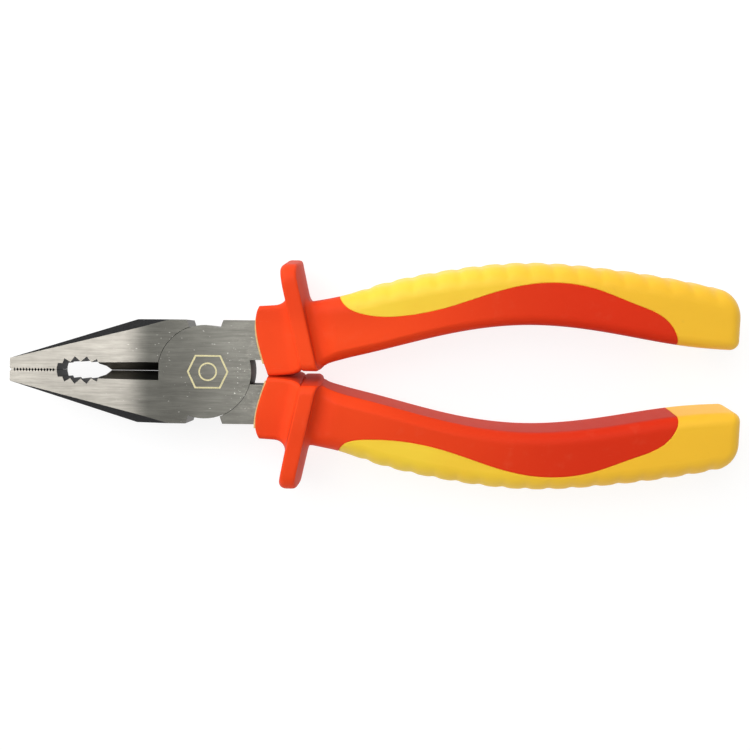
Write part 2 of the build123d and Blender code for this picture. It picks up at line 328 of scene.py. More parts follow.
def rounded_section(half_width, half_depth, outer, inner, outer_power=2.0, inner_power=2.0):
    """A closed loop of points, across (towards the palm) and up, of a rounded rectangle.

    A power of 2 gives round corners, and one nearer to 1 gives a facet."""
    turn = np.linspace(0, pi / 2, CORNER_POINTS, endpoint=False)
    side = np.linspace(0, 1, SIDE_POINTS, endpoint=False)
    face = np.linspace(0, 1, FACE_POINTS, endpoint=False)

    def arc(power):
        return np.cos(turn) ** (2 / power), np.sin(turn) ** (2 / power)

    (oc, os_), (ic, is_) = arc(outer_power), arc(inner_power)
    right, left = half_width - outer, half_width - inner
    top_out, top_in = half_depth - outer, half_depth - inner
    ones = np.ones
    across = [half_width * ones(SIDE_POINTS), right + outer * oc, right - (right + left) * face,
              -left - inner * is_, -half_width * ones(SIDE_POINTS), -left - inner * ic,
              -left + (right + left) * face, right + outer * os_]
    up = [-top_out + 2 * top_out * side, top_out + outer * os_, half_depth * ones(FACE_POINTS),
          top_in + inner * ic, top_in - 2 * top_in * side, -top_in - inner * is_,
          -half_depth * ones(FACE_POINTS), -top_out - outer * oc]
    return np.concatenate(across), np.concatenate(up)


def lengths(group):
    """A property group's lengths in millimetres."""
    return {key: getattr(group, key) / MM for key in group.__annotations__
            if key not in ("roll", "lean")}


class Moulding:
    """The closed outer skin of one handle and its bore, as rings of points in millimetres."""

    def __init__(self, handle, guard):
        self.h, self.g = lengths(handle), lengths(guard)
        self.roll = handle.roll
        self.lean = guard.lean
        self.outer_line = smooth_line(OUTER_EDGE)
        self.outer_line[:, 1] += (self.h["outer_round"] - self.h["inner_round"]) * 0.13
        self.inner_line = smooth_line(INNER_EDGE)
        self.collar_outer = smooth_line(COLLAR_OUTER)
        self.collar_inner = smooth_line(COLLAR_INNER)
        self.mouth_line = smooth_line(MOUTH_EDGE)
        self.rings, self.flat, self.reach = [], [], []

    def outer_at(self, x):
        """Outer edge of the handle, not rolled."""
        return float(np.interp(x, *self.outer_line.T))

    def inner_at(self, x):
        """Inner edge of the handle, not rolled."""
        if x < INNER_EDGE[0][0]:
            return float(np.interp(x, *self.collar_inner.T))
        return float(np.interp(x, *self.inner_line.T))

    def mouth_at(self, y):
        """The mouth's place along the tool."""
        return np.interp(y, self.mouth_line[:, 1], self.mouth_line[:, 0])

    def plate(self, offset):
        """The guard's middle plane moved back by an offset, as place along the tool from y."""
        start = self.g["place"] + offset / cos(self.lean)
        return lambda y: start - (y - self.g["place_side"]) * tan(self.lean)

    def add(self, along, low, high, depth, outer, inner, axis, powers=(2.0, 2.0), sign=-1,
            upright=0.0, crown=0.0):
        """Adds a ring between low and high, rolled about an axis.

        Where upright is 1, the side towards the palm stays upright. A crown moves the ring's
        middle back."""
        half = (high - low) / 2
        limit = 0.98 * min(half, depth)
        across, up = rounded_section(half, depth, min(outer, limit), min(inner, limit), *powers)
        y = (low + high) / 2 + across
        x = along(y) * np.ones(RING_POINTS) + crown * (1 - (up / depth) ** 2)
        self.place(x, y, up, axis, self.roll, half - across, sign)
        self.rings[-1][:, 1] += upright * up * sin(self.roll) * ease(across, -half, half)

    def place(self, x, y, up, axis, roll, reach, sign):
        """Rolls a ring's points and keeps their flat places."""
        rolled = axis + (y - axis) * cos(roll) - up * sin(roll)
        height = MIDDLE + (y - axis) * sin(roll) + up * cos(roll)
        self.rings.append(np.stack([x, rolled, height], axis=1))
        self.flat.append(np.stack([x, y, sign * np.ones(RING_POINTS)], axis=1))
        self.reach.append(reach)

    def bore(self):
        """From the blind end of the tang's room out to the mouth."""
        across, up = rounded_section(1, 1, 0.2, 0.2)
        end = TANG_END + ROOM_END_GAP
        stops = np.arange(end - 4, NECK_ROOM_END + 2, -ROOM_STEP)
        for share in (0.02, 0.5):
            self.room_ring(end, across * share, up * share)
        for x in (end, *stops, NECK_ROOM_END):
            self.room_ring(x, across, up)
        low, high, depth = NECK_ROOM
        y, z = between(low, high, (across + 1) / 2), up * depth
        flat = COLLAR_ROLL_AXIS + (y - COLLAR_ROLL_AXIS) * cos(self.roll) + z * sin(self.roll)
        for share in (0.0, 0.5, 1.0):
            x = between(NECK_ROOM_END, self.mouth_at(flat), share)
            self.place(x, y, z, COLLAR_ROLL_AXIS, 0.0, y, -1)

    def room_ring(self, x, across, up):
        """One ring of the rolled room of the tang and its liner."""
        share = ease(x, NECK_ROOM_END, INNER_EDGE[0][0])
        low = between(NECK_ROOM[0], self.inner_at(x) + ROOM_COVER, share)
        high = between(NECK_ROOM[1], self.outer_at(x) - ROOM_COVER, share)
        y = between(low, high, (across + 1) / 2)
        self.place(x * np.ones(RING_POINTS), y, up * ROOM_DEPTH, HANDLE_ROLL_AXIS, self.roll,
                   y, -1)

    def collar(self):
        """From the mouth's rim to the hollow in front of the guard."""
        depth = self.h["half_depth"]
        hollow = self.plate(-self.g["wall"] / 2 - self.g["front_sweep"])
        for share, inset in ((0, 0.7), (0, 0.35), (0.015, 0.12), (0.04, 0.03), (0.08, 0),
                             (0.25, 0), (0.4, 0), (0.55, 0), (0.7, 0), (0.85, 0), (1, 0)):
            def along(y, share=share):
                return self.mouth_at(y) * (1 - share) + hollow(y) * share
            high = self.collar_high(along) - inset
            low = self.inner_at(float(along(INNER_SIDE))) + inset * 0.35
            self.add(along, low, high, depth - inset, *COLLAR_ROUNDS, COLLAR_ROLL_AXIS,
                     upright=1.0)

    def collar_high(self, along):
        """The collar's outer edge, where a ring crosses the outer side."""
        return float(np.interp(along(OUTER_SIDE), *self.collar_outer.T))

    def guard(self):
        """The plate, with the hollows in front of it and behind it."""
        g, depth = self.g, self.h["half_depth"]
        half, inner_end = g["wall"] / 2, g["inner"] + PLATE_INNER_EDGE
        for turn in np.linspace(0, pi / 2, 9)[1:]:
            along = self.plate(-half - g["front_sweep"] * (1 - sin(turn)))
            share = 1 - cos(turn)
            start = self.collar_high(along) + FRONT_RISE * share
            self.add(along, between(self.inner_at(float(along(INNER_SIDE))), inner_end, share),
                     start, depth + FRONT_LIFT * share,
                     *between(COLLAR_ROUNDS, FRONT_ROUNDS, share),
                     between(COLLAR_ROLL_AXIS, FRONT_ROLL_AXIS, share),
                     upright=between(1.0, 0.6, share))
        face, edge_depth = self.plate(-half), g["half_depth"] - PLATE_EDGE
        for share in (0.3, 0.6, 0.85, 1.0):
            self.add(face, inner_end, between(start, g["outer"] - g["end_round"], share),
                     between(depth + FRONT_LIFT, edge_depth, share),
                     *between(FRONT_ROUNDS, FACE_ROUNDS, share),
                     between(FRONT_ROLL_AXIS, HANDLE_ROLL_AXIS, share),
                     upright=between(0.6, 0.0, share))
        for step in (0.05, 0.16, 0.32, 0.55, 0.9, 1.35, 1.9, 2.4):
            self.plate_ring(step - half, step, g["end_round"])
        for step in (0.9, 0.55, 0.32, 0.16, 0.05, 0.0):
            self.plate_ring(half - step, step, PLATE_EDGE, g["crown"] * (1 - step / CROWN_WALL))
        self.neck(inner_end, edge_depth)

    def plate_ring(self, offset, step, outer_round, crown=0.0):
        """A ring of the plate, a step in from its front or back face."""
        g = self.g
        high = g["outer"] - outer_round + self.bulge(outer_round, step)
        lift = g["half_depth"] - PLATE_EDGE + self.bulge(PLATE_EDGE, step)
        low = g["inner"] + PLATE_INNER_EDGE * (1 - ease(step, 0, PLATE_EDGE))
        self.add(self.plate(offset), low, high, lift, *PLATE_ROUNDS, HANDLE_ROLL_AXIS,
                 crown=crown)

    def neck(self, inner_end, edge_depth):
        """The plate's back face, and the hollow from it to the neck."""
        g, half, sweep = self.g, self.g["wall"] / 2, self.g["back_sweep"]
        foot = self.plate(half + sweep)
        high = self.outer_at(float(foot(OUTER_SIDE)))
        low = self.inner_at(float(foot(INNER_SIDE))) - 0.2
        depth = self.h["half_depth"] - self.h["neck_dip"]
        middle_round = (PLATE_ROUNDS[0] + NECK_ROUND) / 2
        for share in (0.25, 0.5, 0.75, 1.0):
            self.add(self.plate(half), between(inner_end, low, NECK_BLEND * share),
                     between(g["outer"] - PLATE_EDGE, high + sweep, share),
                     between(edge_depth, depth + sweep, share),
                     between(PLATE_ROUNDS[0], middle_round, share), PLATE_ROUNDS[1],
                     HANDLE_ROLL_AXIS, crown=g["crown"], upright=NECK_UPRIGHT * share)
        for turn in np.linspace(0, pi / 2, 8)[1:]:
            rise, out = sweep * (1 - sin(turn)), 1 - cos(turn)
            self.add(self.plate(half + sweep * out),
                     between(inner_end, low, between(NECK_BLEND, 1.0, out)),
                     high + rise, depth + rise, between(middle_round, NECK_ROUND, sin(turn)),
                     PLATE_ROUNDS[1], HANDLE_ROLL_AXIS, (2, between(2, FACET_POWER, sin(turn))),
                     crown=g["crown"] * cos(turn), upright=NECK_UPRIGHT)

    @staticmethod
    def bulge(radius, step):
        """How far a rounded edge has risen, a step in from its start."""
        left = max(radius - step, 0)
        return (radius * radius - left * left) ** 0.5

    def handle(self):
        """From behind the guard to the closed rear end."""
        g, h = self.g, self.h
        start = g["place"] + (g["wall"] / 2 + g["back_sweep"]) / cos(self.lean)
        steps = int((HANDLE_END - h["end_round"] - start) / h["ring_step"])
        stops = list(np.linspace(start, HANDLE_END - h["end_round"], steps))[1:]
        turns = np.linspace(0, pi / 2, 15)[1:]
        stops += list(HANDLE_END - h["end_round"] * (1 - np.sin(turns)))
        for x in stops:
            slope = tan(self.lean) * (1 - ease(x, start + 1, start + 16))

            def along(y, x=x, slope=slope):
                return x - (y - g["place_side"]) * slope
            inset, inner_inset, face_inset = (
                radius - self.bulge(radius, HANDLE_END - x)
                for radius in (h["end_round"], INNER_END_ROUND, FACE_END_ROUND))
            high = self.outer_at(along(self.outer_at(x))) - inset
            low = self.inner_at(along(self.inner_at(x))) + inner_inset
            dip = h["neck_dip"] * (1 - ease(x, start, start + NECK_DIP_RUN))
            begun, fade = ease(x, start, start + FACET_RUN), ease(x, *FACET_FADE)
            outer = between(NECK_ROUND, h["outer_round"], ease(x, start, start + 12))
            inner = between(between(PLATE_ROUNDS[1], h["facet"], begun), h["inner_round"], fade)
            power = FACET_POWER - FACET_POWER_DROP * begun + FACET_POWER_RISE * fade
            self.add(along, low, high, h["half_depth"] - dip - face_inset,
                     max(outer - face_inset, LEAST_ROUNDS[0]),
                     max(inner - face_inset, LEAST_ROUNDS[1]), HANDLE_ROLL_AXIS,
                     (2, min(power, 2)), sign=1,
                     upright=NECK_UPRIGHT * (1 - ease(x, start + 5, start + 20)))
        rim, flat, reach = self.rings[-1], self.flat[-1], self.reach[-1]
        for share in END_CAP_SHARES:
            self.rings.append(between(rim.mean(0), rim, share))
            self.flat.append(flat)
            self.reach.append(reach + PAST_SCALLOPS)

    def grip_distance(self, flat):
        """Distance behind the soft grip's front edge, less than 0 in front of it."""
        edge = smooth_line(GRIP_EDGE, 14)
        room = np.vstack([edge, [(FAR, edge[-1, 1]), (FAR, FAR), (edge[0, 0], FAR)]])
        found = np.full(len(flat), np.inf)
        for a, b in zip(edge[:-1], edge[1:]):
            run = b - a
            t = np.clip(((flat[:, :2] - a) @ run) / (run @ run), 0, 1)
            near = np.linalg.norm(flat[:, :2] - a - t[:, None] * run, axis=1)
            found = np.minimum(found, near)
        inside = np.zeros(len(flat), bool)
        for a, b in zip(room, np.roll(room, -1, axis=0)):
            if a[1] == b[1]:
                continue
            crosses = (a[1] > flat[:, 1]) != (b[1] > flat[:, 1])
            level = (flat[:, 1] - a[1]) / (b[1] - a[1])
            inside ^= crosses & (flat[:, 0] < between(a[0], b[0], level))
        signed = np.where(inside, found, -found)
        return np.where(flat[:, 2] > 0, signed, OFF_HANDLE)

    def build(self):
        """The skin as a bmesh, with layers for the grip's edge and its scallops."""
        self.bore()
        self.collar()
        self.guard()
        self.handle()
        points = np.concatenate(self.rings)
        flat = np.concatenate(self.flat)
        distance = self.grip_distance(flat)
        steps = np.linalg.norm(np.diff(self.outer_line, axis=0), axis=1)
        run = np.interp(flat[:, 0], self.outer_line[:, 0], np.concatenate([[0], np.cumsum(steps)]))
        weight = np.where(flat[:, 2] > 0, 1 - ease(np.concatenate(self.reach), *SCALLOP_FADE), 0)
        skin = bmesh.new()
        layers = [skin.verts.layers.float.new(name) for name in LAYERS]
        made = []
        for point, *values in zip(points, distance, run, weight):
            vert = skin.verts.new(point)
            for layer, value in zip(layers, values):
                vert[layer] = value
            made.append(vert)
        count = len(self.rings)
        for k in range(count - 1):
            for i in range(RING_POINTS):
                j = (i + 1) % RING_POINTS
                a, b = k * RING_POINTS, (k + 1) * RING_POINTS
                skin.faces.new((made[a + i], made[a + j], made[b + j], made[b + i]))
        for k in (0, count - 1):
            loop = made[k * RING_POINTS:(k + 1) * RING_POINTS]
            skin.faces.new(loop if k else loop[::-1])
        if skin.calc_volume(signed=True) < 0:
            bmesh.ops.reverse_faces(skin, faces=skin.faces[:])
        skin.normal_update()
        return skin


def mark_level(skin, layer, level, snap=0.02):
    """Inserts the line where a layer's value equals the level."""
    on_line = []
    for vert in skin.verts:
        if abs(vert[layer] - level) < snap:
            vert[layer] = level
            on_line.append(vert)
    for edge in list(skin.edges):
        first, last = edge.verts
        a, b = first[layer] - level, last[layer] - level
        if a * b < 0:
            made = bmesh.utils.edge_split(edge, first, a / (a - b))[1]
            made[layer] = level
            on_line.append(made)
    bmesh.ops.connect_verts(skin, verts=on_line)


def half_meshes(skin, seam):
    """Splits the skin at the grip's edge: points and faces of the sleeve, and of the grip with
    each point's place along the ribs and its weight."""
    layer, run_layer, weight_layer = (skin.verts.layers.float[name] for name in LAYERS)
    width, depth, wall = seam.width / MM, seam.depth / MM, seam.wall / MM
    for level in (-width, 0.0, width):
        mark_level(skin, layer, level)
    skin.normal_update()
    skin.verts.index_update()
    outside = [v.co.copy() for v in skin.verts]
    inside = [v.co - v.normal * wall for v in skin.verts]
    for v in skin.verts:
        if v[layer] == 0.0:
            outside[v.index] = v.co - v.normal * depth
    runs = [v[run_layer] for v in skin.verts]
    weights = [v[weight_layer] * ease(v[layer], width, SCALLOP_START) for v in skin.verts]
    soft = [face for face in skin.faces if sum(v[layer] for v in face.verts) > 0]
    soft_set = set(soft)
    hard = [face for face in skin.faces if face not in soft_set]
    border = [(loop.vert.index, loop.link_loop_next.vert.index) for face in soft
              for loop in face.loops if loop.link_loop_radial_next.face not in soft_set]
    count = len(outside)

    def indices(faces, shift=0, flip=False):
        found = [[v.index + shift for v in face.verts] for face in faces]
        return [f[::-1] for f in found] if flip else found

    grip_walls = [[b, a, a + count, b + count] for a, b in border]
    sleeve_walls = [[a, b, b + count, a + count] for a, b in border]
    both = outside + inside
    grip = indices(soft) + indices(soft, count, True) + grip_walls
    deeper = outside + [p - v.normal * POCKET_GAP for p, v in zip(inside, skin.verts)]
    sleeve = indices(hard) + indices(soft, count) + sleeve_walls
    return (deeper, sleeve), (both, grip, runs + runs, weights + [0.0] * count)


def mesh_object(name, points, faces, sharp=35.0, turned=False, attributes=()):
    """A mesh object in metres from points in millimetres, turned over for the moving half."""
    used = sorted({i for face in faces for i in face})
    index = {old: new for new, old in enumerate(used)}
    places = np.array([points[i] for i in used], float)
    if turned:
        places = places * (1, -1, -1) + (0, 0, HEAD_TOP)
    mesh = bpy.data.meshes.new(name)
    mesh.from_pydata(places * MM, [], [[index[i] for i in face] for face in faces])
    for key, values in attributes:
        data = mesh.attributes.new(key, "FLOAT", "POINT")
        data.data.foreach_set("value", np.array([values[i] for i in used], np.float32))
    mesh.validate()
    mesh.shade_smooth()
    mesh.set_sharp_from_angle(angle=radians(sharp))
    piece = bpy.data.objects.new(name, mesh)
    bpy.context.scene.collection.objects.link(piece)
    return piece


# ---- scallops, by geometry nodes
def rib_tree(material):
    """Presses a row of scallops into a mesh along its rib_run attribute."""
    tree = bpy.data.node_groups.new("Grip scallops", "GeometryNodeTree")
    for name, way, kind in (("Geometry", "INPUT", "Geometry"), ("Start", "INPUT", "Float"),
                            ("Pitch", "INPUT", "Float"), ("Depth", "INPUT", "Float"),
                            ("Count", "INPUT", "Int"), ("Geometry", "OUTPUT", "Geometry")):
        tree.interface.new_socket(name, in_out=way, socket_type=f"NodeSocket{kind}")
    nodes, links = tree.nodes, tree.links
    given, result = nodes.new("NodeGroupInput"), nodes.new("NodeGroupOutput")

    def named(name):
        node = nodes.new("GeometryNodeInputNamedAttribute")
        node.data_type = "FLOAT"
        node.inputs["Name"].default_value = name
        return node.outputs["Attribute"]

    def maths(operation, *values):
        return maths_node(tree, operation, *values)

    place = maths("DIVIDE", maths("SUBTRACT", named(LAYERS[1]), given.outputs["Start"]),
                  given.outputs["Pitch"])
    wave = maths("COSINE", maths("MULTIPLY", place, 2 * pi))
    dip = maths("POWER", maths("MULTIPLY_ADD", wave, 0.5, 0.5), 2.4)
    begun = maths("GREATER_THAN", place, -0.5)
    ended = maths("LESS_THAN", place, maths("SUBTRACT", given.outputs["Count"], 0.5))
    depth = maths("MULTIPLY", dip, maths("MULTIPLY", named(LAYERS[2]), given.outputs["Depth"]))
    depth = maths("MULTIPLY", depth, maths("MULTIPLY", begun, ended))
    inward = nodes.new("ShaderNodeVectorMath")
    inward.operation = "SCALE"
    links.new(nodes.new("GeometryNodeInputNormal").outputs["Normal"], inward.inputs[0])
    links.new(maths("MULTIPLY", depth, -1.0), inward.inputs["Scale"])
    press = nodes.new("GeometryNodeSetPosition")
    realize = nodes.new("GeometryNodeRealizeInstances")
    paint = nodes.new("GeometryNodeSetMaterial")
    paint.inputs["Material"].default_value = material
    links.new(inward.outputs[0], press.inputs["Offset"])
    chain = (given, press, realize, paint, result)
    for source, target in zip(chain, chain[1:]):
        links.new(source.outputs["Geometry"], target.inputs["Geometry"])
    return tree


def apply_tree(piece, tree, values):
    """Runs a tree on a piece with its named inputs, and keeps the plain mesh."""
    modifier = piece.modifiers.new(tree.name, "NODES")
    modifier.node_group = tree
    for item in tree.interface.items_tree:
        if item.in_out == "INPUT" and item.name in values:
            modifier[item.identifier] = values[item.name]
    evaluated = piece.evaluated_get(bpy.context.evaluated_depsgraph_get())
    mesh = bpy.data.meshes.new_from_object(evaluated)
    piece.modifiers.remove(modifier)
    piece.data = mesh


# ---- finishes
class Finish:
    """A procedural material, with short ways to add the nodes that it needs."""

    def __init__(self, name, roughness, metallic=0.0, specular=0.5):
        self.material = bpy.data.materials.new(name)
        self.material.use_nodes = True
        self.tree = self.material.node_tree
        self.nodes = self.tree.nodes
        self.shader = self.nodes["Principled BSDF"]
        self.shader.inputs["Roughness"].default_value = roughness
        self.shader.inputs["Metallic"].default_value = metallic
        self.shader.inputs["Specular IOR Level"].default_value = specular
        self.coords = self.nodes.new("ShaderNodeTexCoord")

    def axis(self, name, normal=False):
        """One object coordinate, or one part of the object's normal."""
        split = self.nodes.new("ShaderNodeSeparateXYZ")
        put(split.inputs[0], self.coords.outputs["Normal" if normal else "Object"])
        return split.outputs[name]

    def noise(self, scale, detail=3.0, roughness=0.5, stretch=(1, 1, 1), offset=(0, 0, 0)):
        """Noise over the object's coordinates. Scale is in features each metre."""
        mapping = self.nodes.new("ShaderNodeMapping")
        mapping.inputs["Scale"].default_value = stretch
        mapping.inputs["Location"].default_value = offset
        put(mapping.inputs["Vector"], self.coords.outputs["Object"])
        node = self.nodes.new("ShaderNodeTexNoise")
        put(node.inputs["Vector"], mapping.outputs[0])
        node.inputs["Scale"].default_value = scale
        node.inputs["Detail"].default_value = detail
        node.inputs["Roughness"].default_value = roughness
        return node.outputs[0]

    def maths(self, operation, *values):
        """A Math node's result."""
        return maths_node(self.tree, operation, *values)

    def ramp(self, side, value, low, high, kind="LINEAR"):
        """A Map Range node's result, with one side's limits set."""
        node = self.nodes.new("ShaderNodeMapRange")
        node.interpolation_type = kind
        put(node.inputs["Value"], value)
        node.inputs[f"{side} Min"].default_value = low
        node.inputs[f"{side} Max"].default_value = high
        return node.outputs[0]

    def step(self, value, low, high):
        """A value turned smoothly into 0 to 1 between low and high."""
        return self.ramp("From", value, low, high, "SMOOTHSTEP")

    def spread(self, value, low, high):
        """A value from 0 to 1 spread between low and high."""
        return self.ramp("To", value, low, high)

    def product(self, *values):
        """Numbers multiplied together."""
        result = values[0]
        for value in values[1:]:
            result = self.maths("MULTIPLY", result, value)
        return result

    def scaled(self, colour, factor):
        """A colour times a number."""
        node = self.nodes.new("ShaderNodeVectorMath")
        node.operation = "SCALE"
        put(node.inputs[0], colour)
        put(node.inputs["Scale"], factor)
        return node.outputs[0]

    def blend(self, share, first, second):
        """Two numbers mixed by a share."""
        node = self.nodes.new("ShaderNodeMix")
        for index, value in ((0, share), (2, first), (3, second)):
            put(node.inputs[index], value)
        return node.outputs[0]

    def mix(self, share, first, second):
        """Two colours mixed by a share."""
        node = self.nodes.new("ShaderNodeMix")
        node.data_type = "RGBA"
        put(node.inputs[0], share)
        for socket, value in ((node.inputs[6], first), (node.inputs[7], second)):
            put(socket, value if isinstance(value, bpy.types.NodeSocket) else (*value, 1.0))
        return node.outputs[2]

    def bump(self, height, distance, strength=1.0, below=None):
        """A bump from a height, over another one."""
        node = self.nodes.new("ShaderNodeBump")
        node.inputs["Strength"].default_value = strength
        node.inputs["Distance"].default_value = distance
        put(node.inputs["Height"], height)
        if below is not None:
            put(node.inputs["Normal"], below)
        return node.outputs[0]

    def finish(self, colour, roughness, bump):
        """Joins colour, roughness and bump to the shader."""
        for name, value in (("Base Color", colour), ("Roughness", roughness), ("Normal", bump)):
            put(self.shader.inputs[name], value)
        return self.material


BARE_STEEL = (0.72, 0.71, 0.66)


def shade(value, share):
    """A colour made darker or lighter by a share."""
    return tuple(min(c * share, 1.0) for c in value)


def steel_finish(colours):
    """Steel ground lengthwise on its flat faces, with dark oxide left on sides and bevels."""
    f = Finish("Ground forged steel", 0.4, metallic=1.0)
    x, y = f.axis("X"), f.axis("Y")
    side = f.maths("ABSOLUTE", y)
    streaks = f.noise(1.0, 2.0, 0.6, (160, 3600, 160))
    fine = f.noise(1.0, 3.0, 0.7, (420, 11000, 420), (3, 7, 1))
    bands = f.noise(1.0, 2.0, 0.5, (130, 1300, 130), (6, 2, 4))
    cloud = f.noise(110.0, 3.0, 0.6, (1, 1.6, 1))
    grime = f.noise(800.0, 5.0, 0.7, (0.6, 1.3, 1), (5, 2, 0))
    scale = f.noise(2400.0, 4.0, 0.6, (1, 1, 1), (1, 6, 3))

    # Ground are the flat faces, the stop notches and the wire cutter's bevels.
    flat = f.step(f.maths("ABSOLUTE", f.axis("Z", normal=True)), 0.90, 0.97)
    notch = f.product(f.step(f.maths("ABSOLUTE", x), 0.0092, 0.0086), f.step(side, 0.0095, 0.0105))
    cutter = f.product(f.step(x, -0.0290, -0.0280), f.step(x, -0.0120, -0.0130),
                       f.step(side, 0.0026, 0.0023))
    ground = f.maths("MAXIMUM", flat, f.product(notch, 0.75))
    ground = f.maths("MAXIMUM", ground, f.product(cutter, 0.8))

    # Painted shade: the joint is painted darker than the jaws, standing in for the light on the
    # jaws' tapered faces; the joint grows lighter towards the sleeves.
    joint_ramp = f.mix(f.step(x, -0.012, 0.014), shade(colours.joint, 0.64),
                   shade(colours.joint, 1.28))
    base = f.mix(f.step(x, -0.0235, -0.0145), colours.jaw, joint_ramp)
    tone = f.maths("ADD", f.spread(streaks, 0.72, 1.26), f.spread(fine, -0.16, 0.16))
    tone = f.product(tone, f.spread(cloud, 0.74, 1.24), f.spread(bands, 0.70, 1.30))
    pale_stain = f.product(f.step(x, 0.004, 0.016), f.step(grime, 0.48, 0.72))
    dark_stain = f.product(f.step(x, 0.009, 0.018), f.step(grime, 0.46, 0.34))
    stained = f.mix(f.product(pale_stain, 0.7), base, colours.jaw)
    stained = f.mix(f.product(dark_stain, 0.6), stained, shade(colours.joint, 0.45))

    # A few bright nicks beside the mark, and thin scratches all over.
    nicks = f.product(f.step(x, 0.0045, 0.0075), f.step(x, 0.0135, 0.0115),
                      f.step(side, 0.0095, 0.006),
                      f.step(f.noise(1500.0, 2.0, 0.6, (1, 1, 1), (11, 4, 2)), 0.66, 0.7))
    thin = f.noise(1.0, 1.0, 0.5, (900, 2600, 900), (2, 9, 4))
    bright = f.maths("MAXIMUM", nicks, f.product(f.step(thin, 0.74, 0.78), 0.5))
    worn = f.mix(f.product(bright, 0.8), stained, BARE_STEEL)

    oxide = f.mix(f.step(scale, 0.35, 0.8), shade(colours.forged, 0.8),
                  shade(colours.forged, 1.7))
    colour = f.mix(ground, oxide, f.scaled(worn, tone))
    rough = f.maths("ADD", f.spread(streaks, 0.3, 0.46), f.spread(grime, -0.05, 0.08))
    rough = f.blend(ground, f.spread(scale, 0.45, 0.7), rough)
    bump = f.bump(f.maths("ADD", f.product(streaks, 0.6), f.product(fine, 0.4)), 0.00002, 0.5)
    return f.finish(colour, rough, f.bump(scale, 0.00004, 0.35, bump))


def sleeve_finish(colours):
    """Hard satin plastic with a fine moulded grain and flow marks, and painted shade towards the
    rear and on its side walls.
    """
    f = Finish("Red insulating plastic", 0.48, specular=0.08)
    x = f.axis("X")
    flow = f.noise(26.0, 2.0, 0.5, (0.5, 1.4, 1))
    grain = f.noise(3200.0, 3.0, 0.6)
    mottle = f.noise(240.0, 3.0, 0.55)
    scuffs = f.noise(1.0, 2.0, 0.55, (300, 2400, 1200), (4, 1, 7))
    # Painted shade: the red darkens towards the rear, where less light falls.
    base = f.mix(f.step(x, 0.035, 0.11), colours.red, colours.red_rear_shaded)
    deep = f.mix(f.product(f.step(flow, 0.35, 0.7), 0.35), base,
                 shade(colours.red_rear_shaded, 0.82))
    dull = f.mix(f.product(f.step(mottle, 0.55, 0.8), 0.06), deep, (0.9, 0.25, 0.14))
    scuffs_and_wall_shade = f.mix(f.product(f.step(scuffs, 0.7, 0.78), 0.06), dull, (0.95, 0.4, 0.28))
    # Painted shade: side walls, whose normals lie near flat, are painted a much darker red.
    wall = f.step(f.maths("ABSOLUTE", f.axis("Z", normal=True)), 0.55, 0.1)
    scuffs_and_wall_shade = f.mix(f.product(wall, 0.45), scuffs_and_wall_shade, shade(colours.red_rear_shaded, 0.42))
    rough = f.maths("ADD", f.spread(grain, 0.44, 0.54), f.spread(mottle, -0.04, 0.05))
    bump = f.bump(grain, 0.00002, 0.35)
    bump = f.bump(mottle, 0.00006, 0.2, bump)
    f.shader.inputs["Subsurface Weight"].default_value = 0.03
    f.shader.inputs["Subsurface Radius"].default_value = (0.0015, 0.0004, 0.0003)
    return f.finish(scuffs_and_wall_shade, rough, bump)


def grip_finish(colours):
    """Soft rubbery overmould, duller than the sleeve, with handling marks and painted shade towards
    the rear.
    """
    f = Finish("Yellow soft grip", 0.5, specular=0.4)
    x = f.axis("X")
    grain = f.noise(2600.0, 4.0, 0.65)
    cloud = f.noise(70.0, 3.0, 0.55, (0.7, 1.3, 1), (2, 5, 8))
    dirt = f.noise(420.0, 4.0, 0.6, (1, 1, 1), (7, 3, 1))
    # Painted shade: the yellow darkens towards the rear, where less light falls.
    base = f.mix(f.step(x, 0.05, 0.115), colours.yellow, colours.yellow_rear_shaded)
    warm = f.mix(f.product(f.step(cloud, 0.4, 0.7), 0.3), base,
                 shade(colours.yellow_rear_shaded, 0.94))
    handled = f.mix(f.product(f.step(dirt, 0.62, 0.85), 0.18), warm, (0.55, 0.33, 0.05))
    rough = f.maths("ADD", f.spread(grain, 0.46, 0.6), f.spread(cloud, -0.04, 0.05))
    bump = f.bump(grain, 0.00003, 0.4)
    bump = f.bump(dirt, 0.00005, 0.15, bump)
    f.shader.inputs["Subsurface Weight"].default_value = 0.08
    f.shader.inputs["Subsurface Radius"].default_value = (0.0015, 0.0010, 0.0003)
    f.shader.inputs["Sheen Weight"].default_value = 0.08
    return f.finish(handled, rough, bump)


def liner_finish(colours):
    """Thin moulded insulation, a little ragged and stained at its lip."""
    f = Finish("Yellow liner", 0.55, specular=0.4)
    stain = f.noise(900.0, 4.0, 0.7)
    grain = f.noise(4200.0, 2.0, 0.5)
    colour = f.mix(f.product(f.step(stain, 0.42, 0.7), 0.55), colours.liner,
                   shade(colours.liner, 0.5))
    bump = f.bump(grain, 0.00002, 0.4)
    bump = f.bump(stain, 0.00012, 0.6, bump)
    return f.finish(colour, f.spread(stain, 0.45, 0.7), bump)


def mark_finish(colours):
    """A pale laser-etched line with a slightly broken tone."""
    f = Finish("Etched mark", 0.5, metallic=0.55)
    speck = f.noise(5200.0, 3.0, 0.6)
    colour = f.mix(f.step(speck, 0.4, 0.72), colours.mark, shade(colours.mark, 0.62))
    return f.finish(colour, f.spread(speck, 0.4, 0.65), f.bump(speck, 0.00001, 0.5))


